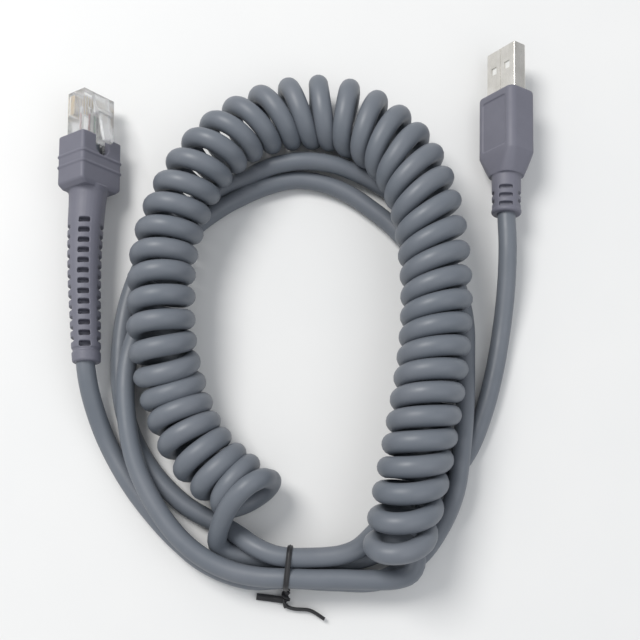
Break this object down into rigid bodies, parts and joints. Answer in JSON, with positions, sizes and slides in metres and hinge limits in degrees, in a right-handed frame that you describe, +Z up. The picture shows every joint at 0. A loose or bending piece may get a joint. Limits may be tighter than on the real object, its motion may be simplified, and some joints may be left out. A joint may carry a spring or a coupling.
{
  "type": "curly interface cable",
  "caption": "Curly interface cable of a handheld barcode scanner, with a latching modular plug, a USB-A plug and a twist tie, lying looped.",
  "frame": {"origin": "centre of the bounding box of the plugs and the tie, on the table that the looped cable lies on", "axes": "+Z up from the table; +Y along the looped cable's length, towards both plugs; +X from the modular plug to the USB plug"},
  "size_m": [0.1366, 0.1636, 0.0241],
  "materials": {
    "clear_plastic": "clear moulded polycarbonate, slightly frosted edges",
    "gold_contacts": "gold-plated copper alloy",
    "boot_pvc": "grey flexible PVC overmould, fine matt texture",
    "cord_pvc": "blue-grey PVC or PUR jacket, satin",
    "core_red": "red core insulation",
    "core_white": "white core insulation",
    "core_green": "green core insulation",
    "core_black": "black core insulation",
    "drain_wire": "tinned copper strands",
    "shell_nickel": "nickel-plated steel sheet, brushed",
    "tongue_plastic": "white PBT insulator",
    "inner_mould": "translucent polyethylene",
    "crimp_metal": "tinned brass ring",
    "tie_black": "black PVC-coated strip with a wire core"
  },
  "bodies": {
    "cable": {"modular_plug_body": "clear_plastic", "modular_contacts": "gold_contacts", "modular_boot": "boot_pvc", "modular_jacket_end": "cord_pvc", "modular_core_red": "core_red", "modular_core_white": "core_white", "modular_core_green": "core_green", "modular_core_black": "core_black", "modular_drain_wire": "drain_wire", "lead_scanner": "cord_pvc", "curly_section": "cord_pvc", "lead_usb": "cord_pvc", "usb_overmould": "boot_pvc", "usb_inner_mould": "inner_mould", "usb_shell": "shell_nickel", "usb_tongue": "tongue_plastic", "usb_contacts": "gold_contacts", "usb_crimp_ring": "crimp_metal", "usb_jacket_end": "cord_pvc", "usb_core_red": "core_red", "usb_core_white": "core_white", "usb_core_green": "core_green", "usb_core_black": "core_black", "usb_drain_wire": "drain_wire", "tie_strip": "tie_black"},
    "latch": {"modular_latch": "clear_plastic"}
  },
  "joints": [
    {"name": "latch_press", "type": "hinge", "parent": "cable", "child": "latch", "pos_m": [-0.05684, 0.06386, 0.01099], "axis": [0.5732, 0.02, -0.8192], "range_deg": [0, 9], "stiffness_Nm_per_rad": 0.45}
  ]
}
